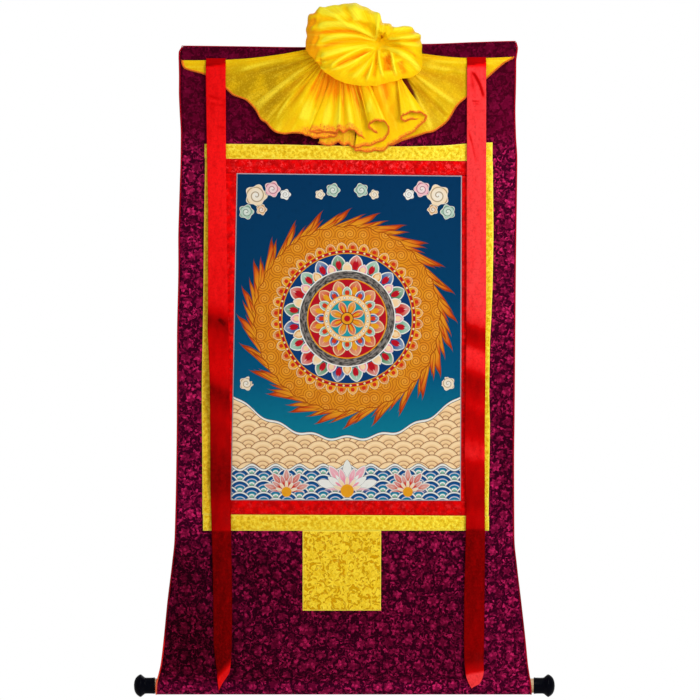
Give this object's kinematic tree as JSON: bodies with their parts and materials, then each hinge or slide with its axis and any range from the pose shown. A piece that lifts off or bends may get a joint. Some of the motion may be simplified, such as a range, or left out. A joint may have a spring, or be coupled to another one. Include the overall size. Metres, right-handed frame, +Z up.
{
  "type": "hanging scroll painting with roller",
  "caption": "Brocade-mounted picture that hangs from its top edge, with a gathered silk veil above it, two satin ribbons, and a wooden roller with knobs that weights its foot.",
  "frame": {"origin": "middle of the cloth's top edge, in the plane of the hanging cloth's front", "axes": "+Z up, -Y out of the picture towards the viewer, +X to the viewer's right"},
  "size_m": [0.777, 0.1003, 1.2808],
  "materials": {
    "brocade_maroon": "dark maroon brocade with a magenta figure",
    "piping_red": "red silk piping",
    "brocade_yellow": "yellow brocade with a golden ground",
    "brocade_red": "red brocade with a paler figure",
    "painted_canvas": "painted canvas, navy to teal, matte",
    "veil_silk": "thin golden yellow silk, glossy folds",
    "ribbon_satin": "red satin ribbon",
    "roller_wood": "plain pale wood",
    "knob_black": "black gloss"
  },
  "bodies": {
    "root": {"backing_cloth": "brocade_maroon", "piping_left": "piping_red", "piping_right": "piping_red", "yellow_top": "brocade_yellow", "yellow_bottom": "brocade_yellow", "yellow_left": "brocade_yellow", "yellow_right": "brocade_yellow", "red_top": "brocade_red", "red_bottom": "brocade_red", "red_left": "brocade_red", "red_right": "brocade_red", "picture_canvas": "painted_canvas", "door_patch": "brocade_yellow", "veil": "veil_silk", "ribbon_left": "ribbon_satin", "ribbon_right": "ribbon_satin", "roller_dowel": "roller_wood", "knob_left": "knob_black", "knob_right": "knob_black"}
  },
  "joints": []
}
